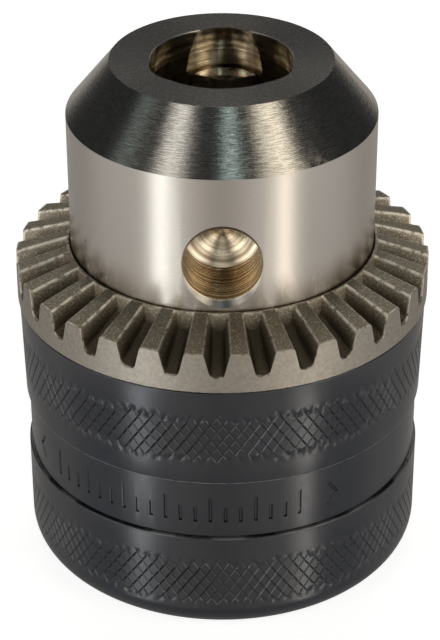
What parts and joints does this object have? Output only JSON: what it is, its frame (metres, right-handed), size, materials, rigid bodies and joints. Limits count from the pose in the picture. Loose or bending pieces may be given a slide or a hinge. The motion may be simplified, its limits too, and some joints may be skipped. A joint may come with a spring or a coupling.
{
  "type": "keyed drill chuck",
  "caption": "Keyed drill chuck: ground steel body, toothed gear ring and knurled black sleeve turn a split nut that slides tilted jaws along the body to grip a drill shank.",
  "frame": {"origin": "centre of the rear face that seats on the spindle's shoulder", "axes": "+Z along the chuck's axis towards its nose; one key pilot hole faces -Y and one jaw is near +Y"},
  "size_m": [0.0432, 0.0432, 0.056],
  "materials": {
    "ground_steel": "ground and lightly polished",
    "sintered_steel": "matte sintered steel",
    "jaw_steel": "ground hardened steel",
    "nut_steel": "machined, oiled steel",
    "black_oxide_steel": "satin black oxide"
  },
  "bodies": {
    "chuck": {"chuck_body": "ground_steel", "rear_ring": "black_oxide_steel", "thrust_washer": "nut_steel"},
    "sleeve": {"gear_ring": "sintered_steel", "sleeve_shell": "black_oxide_steel", "nut_half_a": "nut_steel", "nut_half_b": "nut_steel"},
    "jaw_1": {"jaw_1": "jaw_steel"},
    "jaw_2": {"jaw_2": "jaw_steel"},
    "jaw_3": {"jaw_3": "jaw_steel"}
  },
  "joints": [
    {"name": "sleeve_turn", "type": "hinge", "parent": "chuck", "child": "sleeve", "pos_m": [0, 0, 0.0256], "axis": [0, 0, 1], "range_deg": [-4128.8, 868.5]},
    {"name": "jaw_1_slide", "type": "slide", "parent": "chuck", "child": "jaw_1", "axis": [-0.0122, -0.2585, 0.9659], "range_m": [-0.00387, 0.01836]},
    {"name": "jaw_2_slide", "type": "slide", "parent": "chuck", "child": "jaw_2", "axis": [-0.2178, 0.1398, 0.9659], "range_m": [-0.00387, 0.01836]},
    {"name": "jaw_3_slide", "type": "slide", "parent": "chuck", "child": "jaw_3", "axis": [0.23, 0.1187, 0.9659], "range_m": [-0.00387, 0.01836]}
  ],
  "couplings": [
    {"joint": "jaw_1_slide", "follows": "sleeve_turn", "m_per_rad": -0.00025465},
    {"joint": "jaw_2_slide", "follows": "sleeve_turn", "m_per_rad": -0.00025465},
    {"joint": "jaw_3_slide", "follows": "sleeve_turn", "m_per_rad": -0.00025465}
  ]
}
